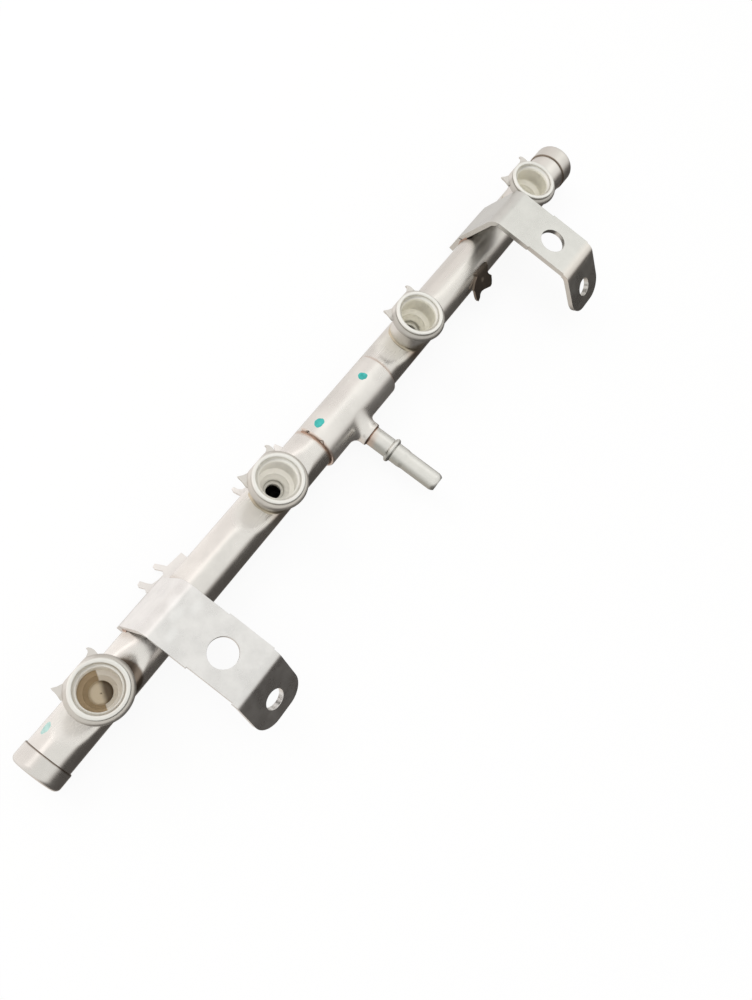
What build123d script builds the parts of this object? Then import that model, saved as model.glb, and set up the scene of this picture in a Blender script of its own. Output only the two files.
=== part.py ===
import os
from math import atan2, cos, radians, sin, tan

from build123d import *

os.makedirs("parts", exist_ok=True)

# ---- frame -------------------------------------------------------------
# Origin at the near bracket's bolt hole, in the plane of its upper face.
# +X runs along the rail, +Z is the way the injector cups open,
# +Y is the side away from the inlet.

# ---- driving dimensions (mm) -------------------------------------------
CUP_PITCH = 94.0
CUP_COUNT = 4
CUP_1_X = -32.4
RAIL_Y = 23.9
RAIL_Z = -25.4
TUBE_R = 9.0
TUBE_WALL = 1.5
NEAR_MARGIN = 25.3
FAR_MARGIN = 31.0

RIM_Z = -2.8
SEAT_DEPTH = 2.9
SEAT_HALF = 9.6
RAMP_HALF = 16.4
FEED_R = 2.9

PLUG_R = 9.6
PLUG_HEAD_NEAR = 7.2
PLUG_HEAD_FAR = 8.9
PLUG_SHANK = 5.0
PLUG_ROUND = 2.0
PLUG_SHOULDER = 0.5

CUP_R = 8.1
CUP_BORE_R = 7.2
CUP_MOUTH_R = 8.2
MOUTH_ROUND = 0.45
MOUTH_DEPTH = 1.6
LIP_R = 10.0
LIP_H = 1.2
LIP_ROUND = 0.5
LIP_CHAMFER = 0.25
BORE_DEPTH = 9.4
LEDGE_R = 5.8
LEDGE_DEPTH = 11.0
LEDGE_STEP_R = 0.3
LEDGE_STEP_H = 0.5
CONE_DEPTH = 13.5
PILOT_R = 4.0
CUP_SKIRT = 19.0

SKIRT_R = 11.5
SKIRT_SHOULDER_R = 10.05
SKIRT_H = 1.9
SKIRT_EDGE = 0.25
SKIRT_FLAT = 10.1
HORN_T = 0.9

PAD_FROM_CUP = 27.3
PAD_LENGTH = 43.9
PAD_T = 1.5
PAD_CORNER = 1.5
PAD_TOP_ANGLE = 50.0
PAD_WRAP = 180.0
NOTCH_R = 0.9
SPIGOT_FROM_PAD = 20.3
SPIGOT_RISE = 3.5
SPIGOT_R = 4.25
SPIGOT_INSERT = 6.8
SPIGOT_BORE_R = 2.9
FLARE_R = 9.8
FLARE_ROOT = 6.0
FLARE_FROM = 8.6
FLARE_TO = 13.9
COLLAR_R = 5.1
COLLAR_END = 15.3
BEAD_R = 5.4
BEAD_FROM = 24.3
BEAD_TO = 26.9
NOSE_ROOT_R = 4.2
NOSE_ROOT_END = 31.0
NOSE_NECK = 1.6
NOSE_R = 3.95
NOSE_END = 48.7
NOSE_TIP_LENGTH = 2.6
NOSE_TIP_R = 3.1

STRIP_T = 2.3
STRIP_W = 22.5
BRACKET_FAR_FROM_CUP = 23.8
PLATE_BEND_Y = -15.0
TAB_LENGTH = 22.3
TAB_DROP = 50.0
TAB_CORNER = 8.0
TAB_HOLE_R = 4.0
TAB_HOLE_FROM_BEND = 13.3
BOLT_R = 5.5
BEND_R = 5.0
CREST_R = 6.0
LEG_ANGLE = 22.0
HUG_TO = 8.0
FOOT_LENGTH = 8.8
DIE_STEP = 0.5
DIE_FROM = -12.5
DIE_TO = 6.5

TAG_T = 1.15
STRAP_T = 1.15
LOW_TAG_DROP = 8.28
NEAR_CLIP_X = 5.6
NEAR_CLIP_W = 18.4
NEAR_TAG_REACH = 17.6
MID_CLIP_FROM_CUP = 3.3
MID_CLIP_W = 25.2
MID_TAG_REACH = 14.6
FAR_CLIP_FROM_BRACKET = 29.3
FAR_CLIP_W = 12.0
FAR_TAG_REACH = 10.2
FAR_TAG_TILT = 50.0

# ---- dependents --------------------------------------------------------
CUP_X = [CUP_1_X + CUP_PITCH * i for i in range(CUP_COUNT)]
TUBE_BORE_R = TUBE_R - TUBE_WALL
TUBE_START = CUP_X[0] - NEAR_MARGIN
TUBE_END = CUP_X[-1] + FAR_MARGIN
TUBE_LENGTH = TUBE_END - TUBE_START
TUBE_TOP = RAIL_Z + TUBE_R
SEAT_Z = TUBE_TOP - SEAT_DEPTH
PAD_START = CUP_X[1] + PAD_FROM_CUP
SPIGOT_X = PAD_START + SPIGOT_FROM_PAD
BRACKET_FAR_X = CUP_X[-1] - BRACKET_FAR_FROM_CUP
MID_CLIP_X = CUP_X[1] - MID_CLIP_FROM_CUP
FAR_CLIP_X = BRACKET_FAR_X - FAR_CLIP_FROM_BRACKET
HUG_R = TUBE_R + STRIP_T
AXIS_PLANE = Plane.XZ.offset(-RAIL_Y)
SPIGOT_DIR = (0, -cos(radians(SPIGOT_RISE)), sin(radians(SPIGOT_RISE)))
SPIGOT_PLANE = Plane(origin=(SPIGOT_X, RAIL_Y, RAIL_Z), x_dir=(1, 0, 0), z_dir=SPIGOT_DIR)


def bar_with_seats(radius, drop):
    """Solid bar of the tube's form, its pressed seats lowered by drop."""
    ramp_angle = atan2(SEAT_DEPTH, RAMP_HALF - SEAT_HALF)
    half_flat = SEAT_HALF + drop * tan(ramp_angle / 2)
    half_ramp = RAMP_HALF + drop * tan(ramp_angle / 2)
    top = TUBE_TOP - drop
    floor = SEAT_Z - drop
    with BuildPart() as bar:
        with BuildSketch(Plane.YZ.offset(TUBE_START)):
            with Locations((RAIL_Y, RAIL_Z)):
                Circle(radius)
        extrude(amount=TUBE_LENGTH)
        for x in CUP_X:
            with BuildSketch(AXIS_PLANE):
                with BuildLine():
                    Polyline(
                        (x - half_ramp, top + 3),
                        (x - half_ramp, top),
                        (x - half_flat, floor),
                        (x + half_flat, floor),
                        (x + half_ramp, top),
                        (x + half_ramp, top + 3),
                        close=True,
                    )
                make_face()
            extrude(amount=TUBE_R + 1, both=True, mode=Mode.SUBTRACT)
    return bar.part


OUTER_BAR = bar_with_seats(TUBE_R, 0.0)
INNER_BAR = bar_with_seats(TUBE_BORE_R, TUBE_WALL)


def rod_along_spigot(radius, start, end):
    """Plain rod on the inlet axis, used to open the tube and the pad."""
    with BuildPart() as rod:
        with BuildSketch(SPIGOT_PLANE.offset(start)):
            Circle(radius)
        extrude(amount=end - start)
    return rod.part


# ---- rail tube ---------------------------------------------------------
with BuildPart() as rail_tube:
    add(OUTER_BAR)
    add(INNER_BAR, mode=Mode.SUBTRACT)
    with BuildSketch(Plane.XY.offset(SEAT_Z - TUBE_WALL - 1)):
        for x in CUP_X:
            with Locations((x, RAIL_Y)):
                Circle(FEED_R)
    extrude(amount=TUBE_WALL + 2, mode=Mode.SUBTRACT)
    add(rod_along_spigot(SPIGOT_R, TUBE_BORE_R / 2, TUBE_R + 3), mode=Mode.SUBTRACT)
rail_tube.part.label = "rail_tube"
export_step(rail_tube.part, "parts/rail_tube.step")


# ---- end plugs ---------------------------------------------------------
def end_plug(face_x, outward, head, name):
    """Turned plug: rounded head a little wider than the tube, shank in the bore."""
    def at(distance, radius):
        return (face_x + outward * distance, RAIL_Z + radius)

    arc_share = 1 - cos(radians(45))
    with BuildPart() as plug:
        with BuildSketch(AXIS_PLANE):
            with BuildLine():
                Polyline(
                    at(-PLUG_SHANK, 0),
                    at(-PLUG_SHANK, TUBE_BORE_R),
                    at(0, TUBE_BORE_R),
                    at(0, PLUG_R - PLUG_SHOULDER),
                )
                ThreePointArc(
                    at(0, PLUG_R - PLUG_SHOULDER),
                    at(arc_share * PLUG_SHOULDER, PLUG_R - arc_share * PLUG_SHOULDER),
                    at(PLUG_SHOULDER, PLUG_R),
                )
                Line(at(PLUG_SHOULDER, PLUG_R), at(head - PLUG_ROUND, PLUG_R))
                ThreePointArc(
                    at(head - PLUG_ROUND, PLUG_R),
                    at(head - arc_share * PLUG_ROUND, PLUG_R - arc_share * PLUG_ROUND),
                    at(head, PLUG_R - PLUG_ROUND),
                )
                Polyline(at(head, PLUG_R - PLUG_ROUND), at(head, 0), at(-PLUG_SHANK, 0))
            make_face()
        revolve(axis=Axis((0, RAIL_Y, RAIL_Z), (1, 0, 0)))
    plug.part.label = name
    export_step(plug.part, f"parts/{name}.step")
    return plug.part


end_plug_near = end_plug(TUBE_START, -1, PLUG_HEAD_NEAR, "end_plug_near")
end_plug_far = end_plug(TUBE_END, 1, PLUG_HEAD_FAR, "end_plug_far")


# ---- injector cups -----------------------------------------------------
def injector_cup(x, name):
    """Deep drawn cup: rolled lip, O-ring bore, conical floor, open pilot."""
    def at(radius, depth):
        return (x + radius, RIM_Z - depth)

    with BuildPart() as cup:
        with BuildSketch(AXIS_PLANE):
            with BuildLine():
                Polyline(
                    at(PILOT_R, CUP_SKIRT),
                    at(CUP_R, CUP_SKIRT),
                    at(CUP_R, LIP_H),
                    at(LIP_R - LIP_CHAMFER, LIP_H),
                    at(LIP_R, LIP_H - LIP_CHAMFER),
                    at(LIP_R, LIP_ROUND),
                )
                ThreePointArc(
                    at(LIP_R, LIP_ROUND),
                    at(LIP_R - 0.29 * LIP_ROUND, 0.29 * LIP_ROUND),
                    at(LIP_R - LIP_ROUND, 0),
                )
                Line(at(LIP_R - LIP_ROUND, 0), at(CUP_MOUTH_R + MOUTH_ROUND, 0))
                ThreePointArc(
                    at(CUP_MOUTH_R + MOUTH_ROUND, 0),
                    at(CUP_MOUTH_R + 0.29 * MOUTH_ROUND, 0.29 * MOUTH_ROUND),
                    at(CUP_MOUTH_R, MOUTH_ROUND),
                )
                Polyline(
                    at(CUP_MOUTH_R, MOUTH_ROUND),
                    at(CUP_BORE_R, MOUTH_DEPTH),
                    at(CUP_BORE_R, BORE_DEPTH),
                    at(LEDGE_R, LEDGE_DEPTH),
                    at(LEDGE_R - LEDGE_STEP_R, LEDGE_DEPTH + LEDGE_STEP_H),
                    at(PILOT_R, CONE_DEPTH),
                    at(PILOT_R, CUP_SKIRT),
                )
            make_face()
        revolve(axis=Axis((x, RAIL_Y, 0), (0, 0, 1)))
        add(OUTER_BAR, mode=Mode.SUBTRACT)
    cup.part.label = name
    export_step(cup.part, f"parts/{name}.step")
    return cup.part


cups = [injector_cup(x, f"injector_cup_{i + 1}") for i, x in enumerate(CUP_X)]


# ---- clip plates -------------------------------------------------------
# Horn outlines, as shares of the skirt's radius from the cup's axis.
RIGHT_HORN = [
    (0.46, 0.84), (0.47, 0.88), (0.58, 0.92), (0.63, 0.97), (0.64, 1.04),
    (0.70, 1.01), (0.74, 0.93), (0.75, 0.82), (0.72, 0.68), (0.62, 0.60),
]
LEFT_HORN = [
    (-0.46, 0.84), (-0.47, 0.88), (-0.61, 0.94), (-0.69, 1.00), (-0.75, 1.04),
    (-0.77, 0.97), (-0.77, 0.90), (-0.79, 0.79), (-0.84, 0.62), (-0.76, 0.50),
]


def clip_plate(x, name):
    """Stamped skirt rolled down under the lip, cut straight between its two horns."""
    top = LIP_H
    foot = LIP_H + SKIRT_H

    def at(radius, depth):
        return (x + radius, RIM_Z - depth)

    with BuildPart() as plate:
        with BuildSketch(AXIS_PLANE):
            with BuildLine():
                Line(at(CUP_R, top), at(SKIRT_SHOULDER_R, top))
                ThreePointArc(
                    at(SKIRT_SHOULDER_R, top),
                    at(
                        SKIRT_SHOULDER_R + 0.72 * (SKIRT_R - SKIRT_SHOULDER_R),
                        top + 0.37 * (SKIRT_H - SKIRT_EDGE),
                    ),
                    at(SKIRT_R, foot - SKIRT_EDGE),
                )
                Polyline(at(SKIRT_R, foot - SKIRT_EDGE), at(SKIRT_R, foot), at(CUP_R, foot), at(CUP_R, top))
            make_face()
        revolve(axis=Axis((x, RAIL_Y, 0), (0, 0, 1)))
        with BuildSketch(Plane.XY.offset(RIM_Z)):
            with Locations((x, RAIL_Y + SKIRT_FLAT)):
                Rectangle(4 * SKIRT_R, SKIRT_R, align=(Align.CENTER, Align.MIN))
        extrude(amount=-(foot + 1), mode=Mode.SUBTRACT)
        with BuildSketch(Plane.XY.offset(RIM_Z - foot)):
            for horn in (RIGHT_HORN, LEFT_HORN):
                with BuildLine():
                    Polyline(*[(x + SKIRT_R * u, RAIL_Y + SKIRT_R * v) for u, v in horn], close=True)
                make_face()
        extrude(amount=HORN_T)
        with BuildSketch(Plane.XY.offset(RIM_Z)):
            with Locations((x, RAIL_Y)):
                Circle(CUP_R)
        extrude(amount=-(foot + 1), mode=Mode.SUBTRACT)
    plate.part.label = name
    export_step(plate.part, f"parts/{name}.step")
    return plate.part


plates = [clip_plate(x, f"clip_plate_{i + 1}") for i, x in enumerate(CUP_X)]

# ---- inlet saddle ------------------------------------------------------
PAD_R = TUBE_R + PAD_T
NOTCH_ANGLES = (64.0, 24.0)
with BuildPart() as inlet_saddle:
    with BuildSketch(Plane.YZ.offset(PAD_START)):
        with Locations((RAIL_Y, RAIL_Z)):
            Circle(PAD_R)
        with BuildLine():
            reach = 2 * PAD_R
            cut_a = radians(90 - PAD_TOP_ANGLE)
            cut_b = radians(90 - PAD_TOP_ANGLE + PAD_WRAP)
            Polyline(
                (RAIL_Y + reach * cos(cut_a), RAIL_Z + reach * sin(cut_a)),
                (RAIL_Y + reach * cos(cut_b), RAIL_Z + reach * sin(cut_b)),
                (RAIL_Y + reach * (cos(cut_b) + sin(cut_a)), RAIL_Z + reach * (sin(cut_b) - cos(cut_a))),
                (RAIL_Y + reach * (cos(cut_a) + sin(cut_a)), RAIL_Z + reach * (sin(cut_a) - cos(cut_a))),
                close=True,
            )
        make_face(mode=Mode.SUBTRACT)
    extrude(amount=PAD_LENGTH)
    add(OUTER_BAR, mode=Mode.SUBTRACT)
    pad_corners = inlet_saddle.edges().filter_by(lambda e: abs(e.length - PAD_T) < 0.01)
    fillet(pad_corners, PAD_CORNER)
    with BuildSketch(Plane(SPIGOT_PLANE.origin, x_dir=(1, 0, 0), z_dir=(0, SPIGOT_DIR[2], -SPIGOT_DIR[1]))):
        with BuildLine():
            Polyline((0, 0), (0, -COLLAR_END), (COLLAR_R, -COLLAR_END), (COLLAR_R, -FLARE_TO))
            ThreePointArc(
                (COLLAR_R, -FLARE_TO),
                (COLLAR_R + 0.3 * (FLARE_R - COLLAR_R), -FLARE_FROM - 0.38 * (FLARE_TO - FLARE_FROM)),
                (FLARE_R, -FLARE_FROM),
            )
            Polyline((FLARE_R, -FLARE_FROM), (FLARE_R, -FLARE_ROOT), (0, 0))
        make_face()
    revolve(axis=Axis((SPIGOT_X, RAIL_Y, RAIL_Z), SPIGOT_DIR))
    add(OUTER_BAR, mode=Mode.SUBTRACT)
    add(rod_along_spigot(SPIGOT_R, 0, COLLAR_END + 5), mode=Mode.SUBTRACT)
    for angle in NOTCH_ANGLES:
        with Locations((
            PAD_START,
            RAIL_Y + PAD_R * cos(radians(90 - PAD_TOP_ANGLE + angle)),
            RAIL_Z + PAD_R * sin(radians(90 - PAD_TOP_ANGLE + angle)),
        )):
            Sphere(NOTCH_R, mode=Mode.SUBTRACT)
inlet_saddle.part.label = "inlet_saddle"
export_step(inlet_saddle.part, "parts/inlet_saddle.step")

# ---- inlet spigot ------------------------------------------------------
SPIGOT_PROFILE = Plane(SPIGOT_PLANE.origin, x_dir=(1, 0, 0), z_dir=(0, SPIGOT_DIR[2], -SPIGOT_DIR[1]))
BEAD_RUN = (BEAD_TO - BEAD_FROM) / 4
with BuildPart() as inlet_spigot:
    with BuildSketch(SPIGOT_PROFILE):
        with BuildLine():
            Polyline((SPIGOT_BORE_R, -SPIGOT_INSERT), (SPIGOT_R, -SPIGOT_INSERT), (SPIGOT_R, -BEAD_FROM))
            Line((SPIGOT_R, -BEAD_FROM), (BEAD_R - BEAD_RUN, -BEAD_FROM - BEAD_RUN / 2))
            ThreePointArc(
                (BEAD_R - BEAD_RUN, -BEAD_FROM - BEAD_RUN / 2),
                (BEAD_R, -(BEAD_FROM + BEAD_TO) / 2),
                (BEAD_R - BEAD_RUN, -BEAD_TO + BEAD_RUN / 2),
            )
            Polyline(
                (BEAD_R - BEAD_RUN, -BEAD_TO + BEAD_RUN / 2),
                (NOSE_ROOT_R, -BEAD_TO),
                (NOSE_ROOT_R, -NOSE_ROOT_END),
                (NOSE_R, -NOSE_ROOT_END - NOSE_NECK),
                (NOSE_R, -NOSE_END + NOSE_TIP_LENGTH),
            )
            ThreePointArc(
                (NOSE_R, -NOSE_END + NOSE_TIP_LENGTH),
                (NOSE_R - 0.24 * (NOSE_R - SPIGOT_BORE_R), -NOSE_END + 0.37 * NOSE_TIP_LENGTH),
                (NOSE_TIP_R, -NOSE_END),
            )
            Polyline(
                (NOSE_TIP_R, -NOSE_END),
                (SPIGOT_BORE_R, -NOSE_END),
                (SPIGOT_BORE_R, -SPIGOT_INSERT),
            )
        make_face()
    revolve(axis=Axis((SPIGOT_X, RAIL_Y, RAIL_Z), SPIGOT_DIR))
inlet_spigot.part.label = "inlet_spigot"
export_step(inlet_spigot.part, "parts/inlet_spigot.step")

# ---- mounting brackets -------------------------------------------------
LEG = radians(LEG_ANGLE)
HUG = radians(HUG_TO)
DROP = radians(TAB_DROP)
CREST_Z = -CREST_R
LEG_SLIDE = (CREST_Z - RAIL_Z - sin(LEG) * (HUG_R - CREST_R)) / -cos(LEG)
CREST_Y = RAIL_Y + cos(LEG) * (HUG_R - CREST_R) + sin(LEG) * LEG_SLIDE
BEND_Y = PLATE_BEND_Y + BEND_R * tan(DROP / 2)


def strip_face(inset):
    """Points of one face of the strip, from the tab's end to the foot's end."""
    tab_y = PLATE_BEND_Y - cos(DROP) * TAB_LENGTH + sin(DROP) * inset
    tab_z = -sin(DROP) * TAB_LENGTH - cos(DROP) * inset
    foot = HUG_R - inset
    foot_y = RAIL_Y + cos(HUG) * foot + sin(HUG) * FOOT_LENGTH
    foot_z = RAIL_Z + sin(HUG) * foot - cos(HUG) * FOOT_LENGTH
    return (tab_y, tab_z), (foot_y, foot_z)


def strip_arcs(inset):
    """The three arcs of one face of the strip, as centre, radius, start and size."""
    return (
        ((BEND_Y, -BEND_R), BEND_R - inset, 90, TAB_DROP),
        ((CREST_Y, CREST_Z), CREST_R - inset, LEG_ANGLE, 90 - LEG_ANGLE),
        ((RAIL_Y, RAIL_Z), HUG_R - inset, HUG_TO, LEG_ANGLE - HUG_TO),
    )


def mounting_bracket(x, name):
    """Bent strip: foot on the tube, steep leg, flat plate and drooping tab."""
    with BuildPart() as bracket:
        with BuildSketch(Plane.YZ.offset(x - STRIP_W / 2)):
            with BuildLine():
                for inset in (0, STRIP_T):
                    tab, foot = strip_face(inset)
                    bend, crest, hug = [CenterArc(*a) for a in strip_arcs(inset)]
                    Line(tab, bend @ 1)
                    Line(bend @ 0, crest @ 1)
                    Line(crest @ 0, hug @ 1)
                    Line(hug @ 0, foot)
                Line(strip_face(0)[0], strip_face(STRIP_T)[0])
                Line(strip_face(0)[1], strip_face(STRIP_T)[1])
            make_face()
        extrude(amount=STRIP_W)
        with BuildSketch(Plane.XY.offset(1)):
            with Locations((x, 0)):
                Circle(BOLT_R)
        extrude(amount=-(STRIP_T + 2), mode=Mode.SUBTRACT)
        tab_plane = Plane(
            origin=(x, PLATE_BEND_Y, 0),
            x_dir=(1, 0, 0),
            z_dir=(0, -sin(DROP), cos(DROP)),
        )
        with BuildSketch(tab_plane.offset(1)):
            with Locations((0, -TAB_HOLE_FROM_BEND)):
                Circle(TAB_HOLE_R)
        extrude(amount=-(STRIP_T + 2), mode=Mode.SUBTRACT)
        corners = bracket.edges().filter_by(
            lambda e: abs(e.length - STRIP_T) < 0.01 and e.center().Y < PLATE_BEND_Y - 10
        )
        fillet(corners, TAB_CORNER)
        with BuildSketch(Plane.XY.offset(1)):
            with Locations((x - STRIP_W / 2, (DIE_FROM + DIE_TO) / 2)):
                Rectangle(2 * DIE_STEP, DIE_TO - DIE_FROM)
        extrude(amount=-(STRIP_T + 2), mode=Mode.SUBTRACT)
        with BuildSketch(Plane.XY.offset(-STRIP_T)):
            with Locations((x + STRIP_W / 2, (DIE_FROM + DIE_TO) / 2)):
                Rectangle(2 * DIE_STEP, DIE_TO - DIE_FROM)
        extrude(amount=STRIP_T)
    bracket.part.label = name
    export_step(bracket.part, f"parts/{name}.step")
    return bracket.part


mounting_bracket_near = mounting_bracket(0.0, "mounting_bracket_near")
mounting_bracket_far = mounting_bracket(BRACKET_FAR_X, "mounting_bracket_far")

# ---- harness clips -----------------------------------------------------
# Tag outlines, as shares of the clip's width along the rail and of the tag's reach.
NEAR_TAG = [
    (-0.01, 0.17), (-0.02, 0.73), (0.02, 0.80), (-0.03, 0.92), (0.0, 0.98), (0.08, 0.99),
    (0.13, 0.85), (0.18, 0.76), (0.32, 0.72), (0.48, 0.71), (0.52, 0.77), (0.45, 0.92),
    (0.47, 0.99), (0.54, 1.0), (0.61, 0.86), (0.65, 0.77), (0.83, 0.75), (1.05, 0.73),
    (1.05, 0.60), (0.98, 0.17),
]
MID_TAG = [
    (-0.01, 0.21), (-0.04, 0.65), (-0.06, 0.79), (-0.07, 0.90), (-0.04, 1.0), (0.0, 0.97),
    (0.01, 0.86), (0.05, 0.77), (0.13, 0.73), (0.86, 0.73), (0.91, 0.78), (0.95, 0.90),
    (0.99, 0.91), (1.01, 0.81), (1.03, 0.68), (1.0, 0.21),
]
FAR_TAG = [
    (1.02, -0.06), (0.97, 0.17), (0.94, 0.28), (1.0, 0.42), (1.1, 0.56), (1.05, 0.79),
    (0.98, 0.95), (0.87, 0.98), (0.65, 0.87), (0.47, 0.78), (0.30, 0.74), (0.21, 0.79),
    (0.12, 0.93), (0.0, 1.0), (-0.07, 0.84), (-0.07, 0.65), (-0.05, 0.45), (-0.09, 0.33),
    (0.10, 0.08), (0.32, -0.06),
]


def harness_clip(name, outline, start, width, reach, tilt, tag_offset, strap):
    """Small strip on the tube's flank with a fingered tag standing out of it."""
    strap_from, strap_to, from_angle, wrap = strap
    with BuildPart() as clip:
        with BuildSketch(Plane.YZ.offset(start + strap_from * width)):
            with BuildLine():
                big = CenterArc((RAIL_Y, RAIL_Z), TUBE_R + STRAP_T, from_angle, wrap)
                small = CenterArc((RAIL_Y, RAIL_Z), TUBE_R - 1.0, from_angle, wrap)
                Line(big @ 0, small @ 0)
                Line(big @ 1, small @ 1)
            make_face()
        extrude(amount=(strap_to - strap_from) * width)
        normal = (0, -sin(radians(tilt)), cos(radians(tilt)))
        tag_plane = Plane(origin=(start, RAIL_Y, RAIL_Z), x_dir=(1, 0, 0), z_dir=normal)
        with BuildSketch(tag_plane.offset(tag_offset - TAG_T / 2)):
            with BuildLine():
                Polyline(*[(width * u, reach * v) for u, v in outline], close=True)
            make_face()
        extrude(amount=TAG_T)
        add(OUTER_BAR, mode=Mode.SUBTRACT)
    clip.part.label = name
    export_step(clip.part, f"parts/{name}.step")
    return clip.part


LOW_STRAP = (0.0, 1.0, -60, 36)
FLANK_STRAP = (0.3, 1.03, 128, 13)
clips = [
    harness_clip(
        "harness_clip_near", NEAR_TAG, NEAR_CLIP_X, NEAR_CLIP_W, NEAR_TAG_REACH,
        0.0, -LOW_TAG_DROP, LOW_STRAP,
    ),
    harness_clip(
        "harness_clip_mid", MID_TAG, MID_CLIP_X, MID_CLIP_W, MID_TAG_REACH,
        0.0, -LOW_TAG_DROP, LOW_STRAP,
    ),
    harness_clip(
        "harness_clip_far", FAR_TAG, FAR_CLIP_X, FAR_CLIP_W, -FAR_TAG_REACH,
        FAR_TAG_TILT, TUBE_R + TAG_T / 2, FLANK_STRAP,
    ),
]
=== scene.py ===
import math
import random

import bmesh
import bpy
from bpy.props import FloatProperty, FloatVectorProperty, IntProperty, PointerProperty
from mathutils import Matrix, Vector


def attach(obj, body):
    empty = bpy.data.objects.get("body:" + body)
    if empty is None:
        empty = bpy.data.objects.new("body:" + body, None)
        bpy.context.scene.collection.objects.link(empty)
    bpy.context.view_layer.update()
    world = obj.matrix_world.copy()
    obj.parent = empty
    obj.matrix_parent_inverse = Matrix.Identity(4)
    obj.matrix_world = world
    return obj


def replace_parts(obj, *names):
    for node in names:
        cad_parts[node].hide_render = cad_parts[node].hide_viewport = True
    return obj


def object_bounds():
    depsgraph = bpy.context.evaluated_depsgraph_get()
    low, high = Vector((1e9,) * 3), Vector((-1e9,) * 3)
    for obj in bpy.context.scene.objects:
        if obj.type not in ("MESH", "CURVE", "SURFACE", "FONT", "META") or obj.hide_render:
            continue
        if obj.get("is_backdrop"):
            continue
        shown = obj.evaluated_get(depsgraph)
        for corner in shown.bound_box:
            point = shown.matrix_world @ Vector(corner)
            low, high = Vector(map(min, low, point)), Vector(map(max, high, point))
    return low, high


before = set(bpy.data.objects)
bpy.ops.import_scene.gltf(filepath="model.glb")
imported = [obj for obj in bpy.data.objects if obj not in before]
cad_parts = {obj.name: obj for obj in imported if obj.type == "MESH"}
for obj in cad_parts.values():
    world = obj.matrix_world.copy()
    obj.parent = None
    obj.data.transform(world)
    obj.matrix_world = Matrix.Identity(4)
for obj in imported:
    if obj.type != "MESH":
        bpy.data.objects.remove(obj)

bl_info = {
    "name": "Fuel Rail Finish",
    "version": (1, 0, 0),
    "blender": (4, 5, 0),
    "location": "View3D > Sidebar > Fuel Rail",
    "description": "Dresses the packed fuel rail in brazed stainless steel and sets its studio",
    "category": "Object",
}

MM = 0.001

# Places and sizes on the rail, in mm in the part's own frame
CUP_X = [-32.4, 61.6, 155.6, 249.6]
RAIL_Y = 23.9
RAIL_Z = -25.4
TUBE_R = 9.0
TUBE_X0 = -57.7
TUBE_X1 = 280.6
RIM_Z = -2.8
SEAT_Z = -19.3
SEAT_HALF = 9.6
RAMP_HALF = 16.4
PAD_X0 = 88.9
PAD_X1 = 132.8
PAD_R = 10.5
SPIGOT_X = 109.2
SPIGOT_TILT = math.radians(3.5)
BRACKET_X = [0.0, 225.8]
HALF_STRIP = 11.25
SPIGOT_AXIS = Vector((0, -math.cos(SPIGOT_TILT), math.sin(SPIGOT_TILT)))
SPIGOT_UP = Vector((0, math.sin(SPIGOT_TILT), math.cos(SPIGOT_TILT)))
# How far the pad's collar stands out from the tube's axis
COLLAR_END = 15.3

# Where the camera stands is a setting; this is how it is turned
CAMERA_RIGHT = Vector((0.56515623, -0.78591072, 0.25088398))
CAMERA_UP = Vector((0.72476297, 0.6182596, 0.3040949))
CAMERA_BACK = Vector((-0.39410287, 0.0099703, 0.91901225))


def tube_point(x, angle, radius=TUBE_R):
    """A point on the tube, angle in degrees from +Y towards +Z, in metres."""
    a = math.radians(angle)
    return Vector((x, RAIL_Y + radius * math.cos(a), RAIL_Z + radius * math.sin(a))) * MM


def shade(colour, *share):
    """The colour times one share, or times a share for each channel."""
    return tuple(c * k for c, k in zip(colour, share if len(share) == 3 else share * 3))


# ---------------------------------------------------------------- settings
class RailSteel(bpy.types.PropertyGroup):
    tube_colour: FloatVectorProperty(
        name="Tube colour", description="Satin stainless of the tube, the plugs and the pad",
        subtype="COLOR", size=3, min=0, max=1, default=(0.76, 0.735, 0.70))
    cup_colour: FloatVectorProperty(
        name="Cup colour", description="Bright stainless of the drawn cups and the inlet",
        subtype="COLOR", size=3, min=0, max=1, default=(0.77, 0.76, 0.72))
    bracket_colour: FloatVectorProperty(
        name="Bracket colour", description="Pressed strip of the brackets",
        subtype="COLOR", size=3, min=0, max=1, default=(0.70, 0.69, 0.675))
    tint_colour: FloatVectorProperty(
        name="Brown tint", description="Brown oxide left beside the brazed joints",
        subtype="COLOR", size=3, min=0, max=1, default=(0.16, 0.115, 0.08))
    straw_colour: FloatVectorProperty(
        name="Straw tint", description="Pale straw oxide further from the joints",
        subtype="COLOR", size=3, min=0, max=1, default=(0.66, 0.64, 0.55))
    roughness: FloatProperty(
        name="Roughness", description="How satin the bright steel is",
        subtype="FACTOR", min=0, max=1, default=0.25)
    cup_roughness: FloatProperty(
        name="Cup roughness", description="The drawn cups are duller than the tube",
        subtype="FACTOR", min=0, max=1, default=0.38)
    satin: FloatProperty(
        name="Satin share", description="How much of the cups' look is mirror and not matt",
        subtype="FACTOR", min=0, max=1, default=0.9)
    edge_round: FloatProperty(
        name="Edge rounding", description="Radius that the stamped edges are broken to",
        unit="LENGTH", default=0.0003)


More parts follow.
